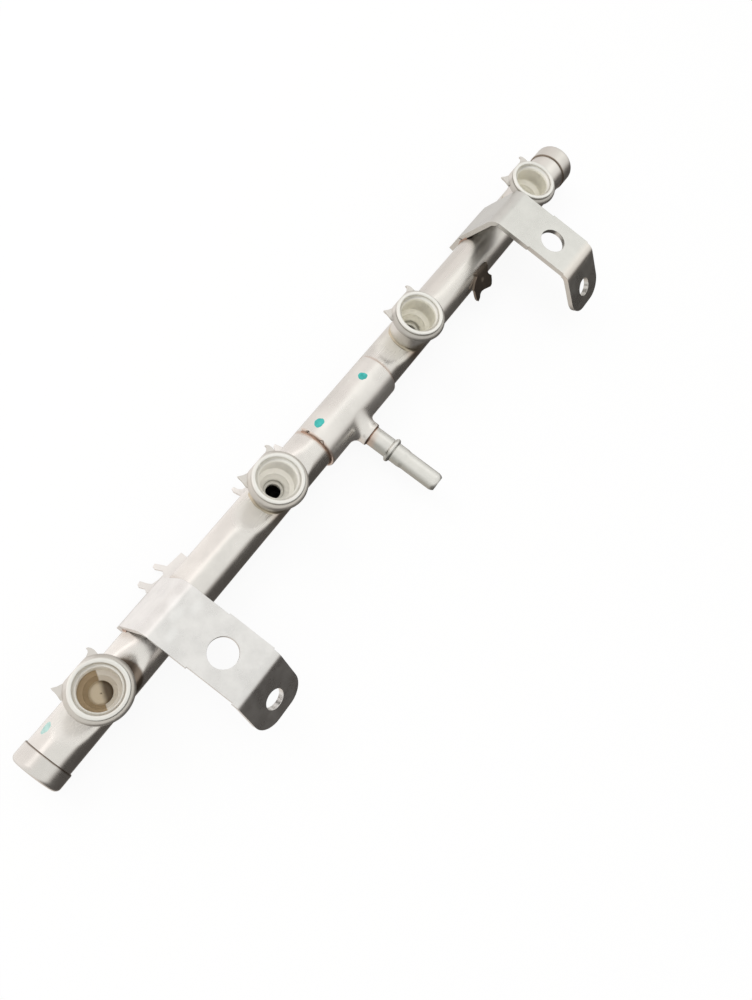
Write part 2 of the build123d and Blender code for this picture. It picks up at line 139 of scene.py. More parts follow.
class RailBraze(bpy.types.PropertyGroup):
    fillet: FloatProperty(
        name="Fillet size", description="Leg of the braze fillet at a joint",
        unit="LENGTH", default=0.0009)
    wobble: FloatProperty(
        name="Wobble", description="How uneven the braze flows, as a share of the fillet",
        subtype="FACTOR", min=0, max=1, default=0.3)
    colour: FloatVectorProperty(
        name="Braze colour", description="Nickel braze with a straw tint at the cups' feet",
        subtype="COLOR", size=3, min=0, max=1, default=(0.50, 0.44, 0.34))
    copper_colour: FloatVectorProperty(
        name="Pad braze colour", description="Pinkish brown braze at the pad, the feet and the collar",
        subtype="COLOR", size=3, min=0, max=1, default=(0.44, 0.30, 0.23))
    seed: IntProperty(name="Seed", description="Keeps the braze the same each run", default=7)


class RailPaint(bpy.types.PropertyGroup):
    colour: FloatVectorProperty(
        name="Dot colour", description="Turquoise of the inspection dots",
        subtype="COLOR", size=3, min=0, max=1, default=(0.02, 0.40, 0.37))
    pale_colour: FloatVectorProperty(
        name="Worn dot colour", description="The washed out dot near the end plug",
        subtype="COLOR", size=3, min=0, max=1, default=(0.42, 0.62, 0.58))
    lift: FloatProperty(
        name="Lift", description="How far the paint stands off the steel",
        unit="LENGTH", default=0.00004)


class RailStudio(bpy.types.PropertyGroup):
    lens: FloatProperty(
        name="Lens", description="Focal length of the camera",
        unit="CAMERA", default=30.456)
    place: FloatVectorProperty(
        name="Camera place", description="Where the camera stands",
        subtype="TRANSLATION", unit="LENGTH", size=3, default=(-0.045103, -0.005629, 0.285196))
    key: FloatProperty(
        name="Key light", description="Power of the soft key light",
        unit="POWER", default=2.0)
    fill: FloatProperty(
        name="Sky", description="Strength of the even studio surround",
        min=0, default=0.9)
    dark_side: FloatProperty(
        name="Dark side", description="How dark the unlit side is in the steel's reflections",
        subtype="FACTOR", min=0, max=1, default=0.91)
    dark_floor: FloatProperty(
        name="Dark floor", description="How much the floor darkens in the steel's reflections",
        subtype="FACTOR", min=0, max=1, default=0.62)


# ---------------------------------------------------------------- node help
class Nodes:
    """Short calls that build a material's node tree."""

    def __init__(self, name):
        self.mat = bpy.data.materials.new(name)
        self.mat.use_nodes = True
        self.tree = self.mat.node_tree
        self.bsdf = self.tree.nodes["Principled BSDF"]
        self.out = self.tree.nodes["Material Output"]

    def new(self, kind, **values):
        node = self.tree.nodes.new(kind)
        for key, value in values.items():
            if key in node.inputs:
                node.inputs[key].default_value = value
            else:
                setattr(node, key, value)
        return node

    def link(self, a, b):
        self.tree.links.new(a, b)

    def place(self):
        return self.new("ShaderNodeTexCoord").outputs["Object"]

    def stretched(self, scale):
        node = self.new("ShaderNodeMapping")
        node.inputs["Scale"].default_value = scale
        self.link(self.place(), node.inputs["Vector"])
        return node.outputs["Vector"]

    def noise(self, scale, detail=4.0, rough=0.55, vector=None):
        node = self.new("ShaderNodeTexNoise")
        node.inputs["Scale"].default_value = scale
        node.inputs["Detail"].default_value = detail
        node.inputs["Roughness"].default_value = rough
        self.link(vector or self.place(), node.inputs["Vector"])
        return node.outputs["Fac"]

    def ramp(self, source, low, high, to_low=0.0, to_high=1.0, smooth=True):
        node = self.new("ShaderNodeMapRange")
        node.interpolation_type = "SMOOTHSTEP" if smooth else "LINEAR"
        node.inputs["From Min"].default_value = low
        node.inputs["From Max"].default_value = high
        node.inputs["To Min"].default_value = to_low
        node.inputs["To Max"].default_value = to_high
        self.link(source, node.inputs["Value"])
        return node.outputs["Result"]

    def maths(self, operation, a, b=None):
        node = self.new("ShaderNodeMath", operation=operation)
        for i, value in enumerate((a, b)):
            if value is None:
                continue
            if isinstance(value, (int, float)):
                node.inputs[i].default_value = value
            else:
                self.link(value, node.inputs[i])
        return node.outputs[0]

    def mix(self, factor, a, b):
        node = self.new("ShaderNodeMix", data_type="RGBA")
        if isinstance(factor, (int, float)):
            node.inputs[0].default_value = factor
        else:
            self.link(factor, node.inputs[0])
        for i, value in ((6, a), (7, b)):
            if isinstance(value, (tuple, list)):
                node.inputs[i].default_value = (*value[:3], 1)
            else:
                self.link(value, node.inputs[i])
        return node.outputs[2]

    def away(self, point, scale=(1, 1, 1)):
        """Distance from a point on the object, with each axis scaled."""
        moved = self.new("ShaderNodeVectorMath", operation="SUBTRACT")
        self.link(self.place(), moved.inputs[0])
        moved.inputs[1].default_value = point
        sized = self.new("ShaderNodeVectorMath", operation="MULTIPLY")
        self.link(moved.outputs[0], sized.inputs[0])
        sized.inputs[1].default_value = scale
        length = self.new("ShaderNodeVectorMath", operation="LENGTH")
        self.link(sized.outputs[0], length.inputs[0])
        return length.outputs["Value"]

    def along(self, point, direction):
        """Signed distance from a point on the object along a direction."""
        moved = self.new("ShaderNodeVectorMath", operation="SUBTRACT")
        self.link(self.place(), moved.inputs[0])
        moved.inputs[1].default_value = point
        dot = self.new("ShaderNodeVectorMath", operation="DOT_PRODUCT")
        self.link(moved.outputs[0], dot.inputs[0])
        dot.inputs[1].default_value = direction
        return dot.outputs["Value"]

    def left(self, share):
        """What a share leaves of the whole."""
        return self.maths("SUBTRACT", 1.0, share)

    def any_of(self, masks):
        """The highest of these values at each place."""
        total = masks[0]
        for mask in masks[1:]:
            total = self.maths("MAXIMUM", total, mask)
        return total

    def bump(self, height, strength, distance):
        node = self.new("ShaderNodeBump")
        node.inputs["Strength"].default_value = strength
        node.inputs["Distance"].default_value = distance
        self.link(height, node.inputs["Height"])
        self.link(node.outputs["Normal"], self.bsdf.inputs["Normal"])


class Stain:
    """One coloured patch on a piece, stain and painted light and shade alike, worked out from places on the
    object in mm.
    """

    def __init__(self, colour, amount=1.0, ragged=0.5, grain=260.0):
        self.colour = colour
        self.amount = amount
        self.ragged = ragged
        self.grain = grain

    def edge(self, n):
        """An uneven offset in mm that keeps the patch's edge from being a clean line."""
        noise = n.noise(self.grain, 4, 0.6)
        return n.maths("MULTIPLY", n.maths("SUBTRACT", noise, 0.5), 2 * self.ragged * MM)


class Spot(Stain):
    """A patch round a point, full inside the inner radius and gone at the outer one."""

    def __init__(self, point, inner, outer, colour, amount=1.0, scale=(1, 1, 1), **look):
        super().__init__(colour, amount, **look)
        self.point, self.inner, self.outer, self.scale = point, inner, outer, scale

    def mask(self, n):
        reach = n.away(tuple(Vector(self.point) * MM), self.scale)
        reach = n.maths("ADD", reach, self.edge(n))
        return n.ramp(reach, self.inner * MM, self.outer * MM, self.amount, 0.0)


class Fence(Stain):
    """A patch on the positive side of every plane given as (point, direction, softness)."""

    def __init__(self, planes, colour, amount=1.0, **look):
        super().__init__(colour, amount, **look)
        self.planes = planes
        self.well = None

    def within(self, centre, radius):
        """Keeps the patch inside an upright cylinder of this radius."""
        self.well = (centre, radius)
        return self

    def mask(self, n):
        edge = self.edge(n)
        total = None
        if self.well:
            (x, y), radius = self.well
            reach = n.away((x * MM, y * MM, 0), (1, 1, 0))
            total = n.ramp(reach, (radius - 0.1) * MM, (radius + 0.1) * MM, 1.0, 0.0)
        for point, direction, soft in self.planes:
            side = n.along(tuple(Vector(point) * MM), tuple(Vector(direction).normalized()))
            side = n.maths("ADD", side, edge)
            part = n.ramp(side, -soft * MM / 2, soft * MM / 2)
            total = part if total is None else n.maths("MULTIPLY", total, part)
        return n.maths("MULTIPLY", total, self.amount)


# How much rougher the steel is under a stain
STAIN_ROUGH = 0.06


def steel(name, base, rough, stains=(), grain=(900, 40, 40), grain_depth=0.000004,
          blotch=0.05, cloud_scale=60.0, rings=None, metallic=1.0, matt=()):
    """Stainless steel: soft blotches, fine grain, stains and painted light and shade laid over it in order,
    and matt patches.
    """
    n = Nodes(name)
    n.bsdf.inputs["Metallic"].default_value = metallic
    if matt:
        lost = n.any_of([patch.mask(n) for patch in matt])
        n.link(n.ramp(lost, 0.0, 1.0, metallic, 0.0, smooth=False), n.bsdf.inputs["Metallic"])
    cloud = n.noise(cloud_scale, 5, 0.6)
    fine = n.noise(1.0, 6, 0.65, n.stretched(grain))
    dark = tuple(c * (1 - blotch * 1.6) for c in base)
    light = tuple(min(1, c * (1 + blotch)) for c in base)
    colour = n.mix(n.ramp(cloud, 0.3, 0.7), dark, light)
    varied = n.maths(
        "ADD", n.ramp(cloud, 0.3, 0.7, rough - 0.03, rough + 0.04), n.ramp(fine, 0.3, 0.7, -0.03, 0.03))
    for stain in stains:
        mask = stain.mask(n)
        colour = n.mix(mask, colour, stain.colour)
        varied = n.maths("ADD", varied, n.maths("MULTIPLY", mask, STAIN_ROUGH))
    n.link(colour, n.bsdf.inputs["Base Color"])
    n.link(varied, n.bsdf.inputs["Roughness"])
    height = fine
    if rings:
        centre_x, centre_y, pitch = rings
        reach = n.away((centre_x * MM, centre_y * MM, 0), (1, 1, 0))
        wave = n.maths("SINE", n.maths("MULTIPLY", reach, 2 * math.pi / (pitch * MM)))
        height = n.maths("ADD", n.maths("MULTIPLY", fine, 0.5), n.maths("MULTIPLY", wave, 0.6))
    n.bump(height, 0.35, grain_depth)
    return n.mat


def put(node, material):
    """Gives a CAD node one material."""
    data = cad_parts[node].data
    data.materials.clear()
    data.materials.append(material)


# The turn between faces, in degrees, over which an edge is a sharp one
SHARP_TURN = 35


def soften(obj, width):
    """Breaks a stamped piece's sharp edges and shades its faces evenly."""
    weld = obj.modifiers.new("weld", "WELD")
    weld.merge_threshold = 1e-6
    bevel = obj.modifiers.new("break_edges", "BEVEL")
    bevel.width = width
    bevel.segments = 3
    bevel.limit_method = "ANGLE"
    bevel.angle_limit = math.radians(SHARP_TURN)
    bevel.use_clamp_overlap = True
    even_shading = obj.modifiers.new("even_shading", "WEIGHTED_NORMAL")
    even_shading.keep_sharp = False
    even_shading.weight = 80
    for poly in obj.data.polygons:
        poly.use_smooth = True


def mesh_piece(name, bm, material):
    """Turns a bmesh into a piece that rides on the rail."""
    data = bpy.data.meshes.new(name)
    bm.normal_update()
    bm.to_mesh(data)
    bm.free()
    obj = bpy.data.objects.new(name, data)
    bpy.context.scene.collection.objects.link(obj)
    data.materials.append(material)
    for poly in data.polygons:
        poly.use_smooth = True
    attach(obj, "root")
    return obj


# ---------------------------------------------------------------- forms
# How softly the pressed seats meet the round tube, in mm
SEAT_BLEND = 2.6
# How close the skin's rings stand, in mm, and how near a cup or the inlet they stand closer
CLOSE_STEP = 0.55
OPEN_STEP = 2.5
SEAT_ZONE = 19
INLET_ZONE = 6
# How many points each ring has above and below the tube's axis
POINTS_ABOVE = 72
POINTS_BELOW = 32
# How wide the skin stays open at the feed holes and at the inlet
FEED_CLEAR = 3.5
INLET_CLEAR = 3.7


def blend_low(a, b, reach):
    """The lower of two heights, rounded over where they meet."""
    share = max(reach - abs(a - b), 0) / reach
    return min(a, b) - share * share * reach / 4


def pressed_height(x):
    """Height over the tube's axis that the pressed seats leave here, rounded at their corners."""
    gap = min(abs(x - cup) for cup in CUP_X)
    slope = (RAIL_Z + TUBE_R - SEAT_Z) / (RAMP_HALF - SEAT_HALF)
    rise = (gap - SEAT_HALF) * slope
    return SEAT_Z - RAIL_Z - blend_low(0, -rise, SEAT_BLEND)


def skin_height(x, y_off):
    """Height over the tube's axis of its pressed skin, y_off to the side of the crest."""
    round_height = math.sqrt(max(0.0, TUBE_R ** 2 - y_off * y_off))
    return blend_low(round_height, pressed_height(x), SEAT_BLEND)


def on_tube(x, y_off):
    """Height of the skin beside a cup's axis, in mm."""
    return RAIL_Z + skin_height(CUP_X[0] + x, max(-TUBE_R, min(TUBE_R, y_off)))


def tube_stations():
    """Places along the tube where its skin has a ring, closer at the seats and the inlet."""
    stations, x = [], TUBE_X0
    while x < TUBE_X1:
        stations.append(x)
        close = min(abs(x - cup) for cup in CUP_X) < SEAT_ZONE or abs(x - SPIGOT_X) < INLET_ZONE
        x += CLOSE_STEP if close else OPEN_STEP
    return stations + [TUBE_X1]


def tube_skin():
    """The rail tube with its seats pressed in softly, open under each cup and at the inlet."""
    upper = [math.radians(180 * k / POINTS_ABOVE) for k in range(POINTS_ABOVE)]
    lower = [math.radians(180 + 180 * k / POINTS_BELOW) for k in range(POINTS_BELOW)]
    turns = upper + lower
    bm = bmesh.new()
    rows = []
    for x in tube_stations():
        row = []
        for a in turns:
            y, z = TUBE_R * math.cos(a), TUBE_R * math.sin(a)
            if z > 0:
                z = min(z, skin_height(x, y))
            row.append(bm.verts.new(Vector((x, RAIL_Y + y, RAIL_Z + z)) * MM))
        rows.append(row)
    inlet = Vector((SPIGOT_X, RAIL_Y, RAIL_Z))
    for i in range(len(rows) - 1):
        for k in range(len(turns)):
            m = (k + 1) % len(turns)
            corners = (rows[i][k], rows[i][m], rows[i + 1][m], rows[i + 1][k])
            middle = sum((v.co for v in corners), Vector()) / 4 / MM
            feeds = min(math.hypot(middle.x - cup, middle.y - RAIL_Y) for cup in CUP_X)
            if middle.z > RAIL_Z and feeds < FEED_CLEAR:
                continue
            arm = middle - inlet
            if arm.dot(SPIGOT_AXIS) > 0 and arm.cross(SPIGOT_AXIS).length < INLET_CLEAR:
                continue
            bm.faces.new(corners)
    bm.normal_update()
    probe = min(bm.faces, key=lambda f: (f.calc_center_median() - tube_point(15, 90)).length)
    if probe.normal.z < 0:
        bmesh.ops.reverse_faces(bm, faces=bm.faces)
    return bm


def arc(centre, radius, start, end, count):
    """Points of a circular arc in a profile, angles in degrees."""
    turn = [math.radians(start + (end - start) * k / count) for k in range(count + 1)]
    return [(centre[0] + radius * math.cos(a), centre[1] + radius * math.sin(a)) for a in turn]


def even(profile, step):
    """The same profile with no gap longer than step, so that its shading stays even."""
    points = [profile[0]]
    for a, b in zip(profile, profile[1:]):
        parts = max(1, int(math.ceil(math.dist(a, b) / step)))
        for k in range(1, parts + 1):
            points.append((a[0] + (b[0] - a[0]) * k / parts, a[1] + (b[1] - a[1]) * k / parts))
    return points


def lathe(profile, steps, place):
    """Turns a profile of (radius, height) in mm; place gives a point from radius, height and angle."""
    bm = bmesh.new()
    rows = []
    for radius, height in profile:
        rows.append([bm.verts.new(place(radius, height, 2 * math.pi * k / steps)) for k in range(steps)])
    for a, b in zip(rows, rows[1:] + rows[:1]):
        for k in range(steps):
            m = (k + 1) % steps
            bm.faces.new((a[k], a[m], b[m], b[k]))
    bmesh.ops.recalc_face_normals(bm, faces=bm.faces)
    return bm


def keep_flats(obj):
    """Leaves the flat bands of a piece flat in its shading."""
    even_shading = obj.modifiers.new("even_shading", "WEIGHTED_NORMAL")
    even_shading.keep_sharp = False
    even_shading.weight = 70


# Radius and height under the rim, in mm, from the injector's bore down to the pilot and its floor
CUP_INSIDE = [
    (7.2, -2.2), (7.2, -9.1), (7.1, -9.45), (6.95, -9.65), (5.95, -10.8), (5.72, -10.98),
    (5.55, -11.15), (5.5, -11.4), (5.4, -11.6), (4.3, -13.15), (4.08, -13.45), (4.0, -13.8),
]
CLEAR_PILOT = [
    (4.0, -14.75), (3.88, -15.1), (3.6, -15.3), (3.15, -15.32), (2.95, -15.45), (2.9, -15.7), (2.9, -16.8),
]
FILLED_PILOT = [
    (3.95, -14.3), (3.7, -14.9), (3.3, -15.2), (2.2, -15.35), (1.1, -15.4), (0.2, -15.45), (0.12, -15.6),
    (0.12, -16.8),
]
# A cup's foot, the height under the rim below which its wall follows the tube, and how deep it is let in
CUP_FOOT = -16.7
FOOT_CUT = -16.6
FOOT_SINK = 0.5
# How fine a cup's skin is: round its axis, and the longest gap in mm along its profile
CUP_STEPS = 144
CUP_GAP = 0.8


def cup_profile(pilot):
    """Outline of a drawn cup below its rim, from its outer foot over the rolled lip into the pilot."""
    outside = [(8.1, CUP_FOOT), (8.1, -1.75)] + arc((8.45, -1.55), 0.35, 180, 90, 4) + [(9.35, -1.2)]
    lip = arc((9.38, -0.62), 0.62, -80, 90, 10)
    bevel = [(8.1, -1.0), (7.4, -1.75)]
    mouth = arc((8.95, -0.75), 0.75, 90, 180, 8) + bevel + arc((7.9, -2.2), 0.7, 150, 180, 3)
    return even(outside + lip + mouth + CUP_INSIDE + pilot, CUP_GAP)


def drawn_cup(name, x, pilot, material):
    """A cup with its rolled lip, its foot cut to the tube."""
    def place(radius, height, angle):
        px, py = radius * math.cos(angle), radius * math.sin(angle)
        z = RIM_Z + height
        if height <= FOOT_CUT:
            z = on_tube(px, py) - FOOT_SINK
        return Vector((x + px, RAIL_Y + py, z)) * MM

    obj = mesh_piece(name, lathe(cup_profile(pilot), CUP_STEPS, place), material)
    keep_flats(obj)
    return obj


# How far the pad reaches round the tube, in degrees up and down from the inlet's axis
PAD_TOP_ARC = 136.5
PAD_LOW_ARC = 43.5
# Its corners, its rolled edge, and the notches in its near end, in degrees below its upper edge
PAD_CORNER = 1.5
PAD_EDGE_ROLL = 0.45
PAD_NOTCHES = (64.0, 24.0)
NOTCH_REACH = 1.3
NOTCH_DEPTH = 0.75
# The drawn neck: its wall, and the fillet where it runs into the pad
NECK_R = 5.1
NECK_FROM = 13.2
NECK_BORE = 4.26
NECK_ROOT = 8.6
NECK_ROOT_LOW = 6.7
NECK_PULL = 1.9
# How fine the pad's skin is: round the inlet, down the fillet and over the pad
SADDLE_STEPS = 480
ROOT_RINGS = 14
PAD_RINGS = 44
# The pad's rolled edge, as shares of the roll and how far they sink in mm
EDGE_ROLL = ((0.4, 0.04), (0.75, 0.15), (0.93, 0.29), (1.0, 0.5), (1.0, 0.9), (1.0, 1.6))


def pad_rim(angle, inset):
    """Where a ray from the inlet's axis leaves the unrolled pad, moved in by inset, in mm."""
    low = Vector((PAD_X0 - SPIGOT_X, -math.radians(PAD_LOW_ARC) * PAD_R))
    high = Vector((PAD_X1 - SPIGOT_X, math.radians(PAD_TOP_ARC) * PAD_R))
    ray = Vector((math.cos(angle), math.sin(angle)))
    near, far = 0.0, 60.0
    half, middle = (high - low) / 2, (high + low) / 2

    def outside(point):
        aside, above = abs(point.x - middle.x), abs(point.y - middle.y)
        q = Vector((aside, above)) - half + Vector((PAD_CORNER, PAD_CORNER))
        return Vector((max(q.x, 0), max(q.y, 0))).length + min(max(q.x, q.y), 0) - PAD_CORNER

    for _ in range(40):
        mid = (near + far) / 2
        near, far = (mid, far) if outside(ray * mid) < 0 else (near, mid)
    rim = ray * near
    nudges = Vector((0.01, 0)), Vector((0, 0.01))
    outward = Vector([outside(rim + nudge) - outside(rim - nudge) for nudge in nudges])
    return rim - outward.normalized() * inset


def pad_place(along, round_mm, radius):
    """A point from the unrolled pad laid back round the tube at this radius, in metres."""
    turn = round_mm / PAD_R
    out = SPIGOT_AXIS * math.cos(turn) + SPIGOT_UP * math.sin(turn)
    return (Vector((SPIGOT_X + along, RAIL_Y, RAIL_Z)) + out * radius) * MM


def neck_point(radius, height, angle):
    """A point round the inlet's axis, at this height from the tube's axis, in metres."""
    side = Vector((1, 0, 0)) * math.cos(angle) + SPIGOT_UP * math.sin(angle)
    return (Vector((SPIGOT_X, RAIL_Y, RAIL_Z)) + SPIGOT_AXIS * height + side * radius) * MM


def neck_roots(angles):
    """Distance from the inlet's axis to the neck's root, smaller where the pad's low edge is near."""
    roots = [min(NECK_ROOT, NECK_ROOT_LOW / max(1e-6, -math.sin(a))) for a in angles]
    nearby = range(-14, 15)
    return [sum(roots[(k + j) % len(roots)] for j in nearby) / len(nearby) for k in range(len(roots))]


def root_point(angle, root, f):
    """A point of the smooth fillet from the neck, where f is 0, to the pad, where it is 1."""
    w = root * math.sin(angle)
    rise = math.sqrt(PAD_R ** 2 - w * w)
    slope = w * math.sin(angle) / rise
    top = Vector((NECK_R, NECK_FROM))
    top_pull = Vector((NECK_R, NECK_FROM - NECK_PULL))
    base = Vector((root, rise))
    base_pull = base + Vector((-1, slope)) * min(NECK_PULL, (root - NECK_R) * 0.55)
    g = 1 - f
    spot = top * g ** 3 + top_pull * (3 * g * g * f) + base_pull * (3 * g * f * f) + base * f ** 3
    return neck_point(spot.x, spot.y, angle)


def notched(point):
    """The unrolled pad's rim point, moved in where the pad's end has a notch."""
    along = point.copy()
    for turn in PAD_NOTCHES:
        ny = (PAD_TOP_ARC - turn) * math.radians(1) * PAD_R
        gap = math.hypot(point.x - (PAD_X0 - SPIGOT_X), point.y - ny)
        if gap < NOTCH_REACH:
            along.x += NOTCH_DEPTH * (0.5 + 0.5 * math.cos(math.pi * gap / NOTCH_REACH))
    return along


def saddle_mesh():
    """The inlet pad and its drawn neck as one skin."""
    angles = [2 * math.pi * k / SADDLE_STEPS for k in range(SADDLE_STEPS)]
    roots = neck_roots(angles)
    rolled_mouth = (
        (NECK_BORE, COLLAR_END - 0.9), (NECK_BORE, COLLAR_END - 0.1), (NECK_BORE + 0.12, COLLAR_END),
        (NECK_R - 0.3, COLLAR_END), (NECK_R - 0.09, COLLAR_END - 0.09), (NECK_R, COLLAR_END - 0.32),
        (NECK_R, NECK_FROM + 0.6),
    )
    rings = [[neck_point(radius, height, a) for a in angles] for radius, height in rolled_mouth]
    rings += [[root_point(a, root, j / ROOT_RINGS) for a, root in zip(angles, roots)]
              for j in range(ROOT_RINGS + 1)]
    inner = [Vector((root * math.cos(a), PAD_R * math.asin(root * math.sin(a) / PAD_R)))
             for a, root in zip(angles, roots)]
    flat = [notched(pad_rim(a, PAD_EDGE_ROLL)) for a in angles]
    edge = [notched(pad_rim(a, 0.0)) for a in angles]
    for j in range(1, PAD_RINGS + 1):
        spread = [i.lerp(rim, j / PAD_RINGS) for i, rim in zip(inner, flat)]
        rings.append([pad_place(spot.x, spot.y, PAD_R) for spot in spread])
    for share, sink in EDGE_ROLL:
        spread = [rim.lerp(out, share) for rim, out in zip(flat, edge)]
        rings.append([pad_place(spot.x, spot.y, PAD_R - sink) for spot in spread])
    bm = bmesh.new()
    rows = [[bm.verts.new(spot) for spot in ring] for ring in rings]
    for a, b in zip(rows, rows[1:]):
        for k in range(SADDLE_STEPS):
            m = (k + 1) % SADDLE_STEPS
            bm.faces.new((a[k], a[m], b[m], b[k]))
    bmesh.ops.recalc_face_normals(bm, faces=bm.faces)
    probe = min(bm.faces, key=lambda f: (f.calc_center_median() - pad_place(0, 18.0, PAD_R)).length)
    if probe.normal.z < 0:
        bmesh.ops.reverse_faces(bm, faces=bm.faces)
    return bm


# ---------------------------------------------------------------- steel
DOWN = (0, 0, -1)

# At each cup: the share of straw on its near ramp, and of brown on the tube's flank
RAMP_STRAW = (0.1, 0.3, 0.5, 0.3)
FLANK_BROWN = (0.2, 0.5, 0.8, 0.4)

# Where the stains and the painted light and shade inside a cup end: out from its axis, and down from its rim
WELL_R = 7.65
PILOT_R = 5
PILOT_TOP = 13.6

# How many cups, from the near end, have paler wells and plates than the others, and the colours of both kinds
PALER_CUPS = 2
# Painted light: the wells are paler than the cups' own steel; the far cups' wells are beige as well
WELL_PAINTED_LIGHT_PALE = (0.94, 0.925, 0.88)
WELL_PAINTED_LIGHT_BEIGE = (0.87, 0.85, 0.775)
# Painted shade: the clip plates are darker than the cups' steel, darkest at the far cups
PLATE_SHADE_PALE = (0.56, 0.53, 0.485)
PLATE_SHADE_DARK = (0.46, 0.44, 0.405)

# Where the near bracket's strip is paler in spots
PALE_SPOTS = ((-6, 17), (0.5, 20), (6.5, 16.5), (3, 23.5))

# Depth of a fine grain, in metres
FINE_GRAIN = 0.000002


class RAIL_OT_dress_tube(bpy.types.Operator):
    """Gives the tube its pressed skin and heat tint, and the end plugs their turned finish"""

    bl_idname = "rail.dress_tube"
    bl_label = "Dress the tube and plugs"

    def execute(self, context):
        s = context.scene.rail_steel
        self.tube(s)
        self.plug(s, "near", TUBE_X0)
        self.plug(s, "far", TUBE_X1)
        return {"FINISHED"}

    def tube(self, s):
        """The tube is painted a little darker to its far end as shade, and is tinted beside each joint."""
        shaded_darker = shade(s.tube_colour, 0.95, 0.945, 0.93)
        dull = shade(s.tint_colour, 2.2)
        # painted shade: the tube's colour grows darker towards its far end
        stains = [Fence([((150, RAIL_Y, 0), (1, 0, 0), 160)], shaded_darker, 0.8, ragged=0.0)]
        for i, x in enumerate(CUP_X):
            stains += self.seat_tints_and_shade(s, i, x)
        for x in (PAD_X0 - 0.4, PAD_X1 + 0.4):
            stains.append(Spot((x, RAIL_Y, RAIL_Z), 0.3, 1.4, (0.50, 0.37, 0.29), 0.55, (1, 0.02, 0.02),
                               ragged=0.5))
        for x in BRACKET_X:
            for side in (-1, 1):
                foot = (x + side * HALF_STRIP, RAIL_Y + 8, RAIL_Z + 3)
                stains.append(Spot(foot, 1.0, 4.0, dull, 0.35, (1, 0.35, 0.35), ragged=0.6))
        crests = [(x - 12.5, RAIL_Y + 0.8, SEAT_Z + 1.5) for x in CUP_X]
        matt = [Spot(crest, 4.2, 7.2, s.tube_colour, 0.85, (0.8, 0.92, 0.2), ragged=0.0) for crest in crests]
        metal = steel("tube_steel", s.tube_colour, s.roughness, stains, grain=(50, 900, 900),
                      grain_depth=FINE_GRAIN, matt=matt)
        put("rail_tube", metal)
        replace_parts(mesh_piece("pressed_tube", tube_skin(), metal), "rail_tube")

    def seat_tints_and_shade(self, s, i, x):
        """Tint on one pressed seat: its near ramp, the flank, its far ramp with painted shade, and the steel
        in the cup.
        """
        straw, dull = tuple(s.straw_colour), shade(s.tint_colour, 2.2)
        far_ramp_shade = (tuple(s.tint_colour), 0.9) if i == 0 else (dull, 0.4)
        under_cup = (0.45, 0.36, 0.25) if i == 0 else tuple(s.tube_colour)
        return [
            Spot((x - 9.5, RAIL_Y - 1, SEAT_Z + 1), 0.5, 9, straw, RAMP_STRAW[i], (0.7, 0.6, 1), ragged=0.6),
            Spot((x - 4, RAIL_Y - 7.5, SEAT_Z), 1.0, 6.0, dull, FLANK_BROWN[i], (0.7, 1, 0.5), ragged=0.7),
            # partly brown oxide, partly painted shade and dark reflection of the cup's wall on the far ramp
            Spot((x + 8.2, RAIL_Y - 2.4, SEAT_Z + 1.5), 5.6, 6.9, *far_ramp_shade, (1, 0.86, 0.6), ragged=0.5),
            Spot((x, RAIL_Y, SEAT_Z), 5.0, 6.0, under_cup, 1.0, ragged=0.0),
        ]

    def plug(self, s, end, x):
        """An end plug, tinted in a thin line along its seam, and the far one darker all over."""
        centre = (x, RAIL_Y, RAIL_Z)
        stains = [Spot(centre, 0.25, 0.7, tuple(s.tint_colour), 0.85, (1, 0.01, 0.01), ragged=0.12)]
        if end == "far":
            stains.insert(0, Spot(centre, 60, 70, shade(s.tube_colour, 0.88, 0.87, 0.85), 0.8, ragged=0.0))
        metal = steel(f"plug_steel_{end}", shade(s.tube_colour, 0.93), s.roughness + 0.04, stains,
                      grain=(1200, 60, 60), grain_depth=FINE_GRAIN)
        put(f"end_plug_{end}", metal)


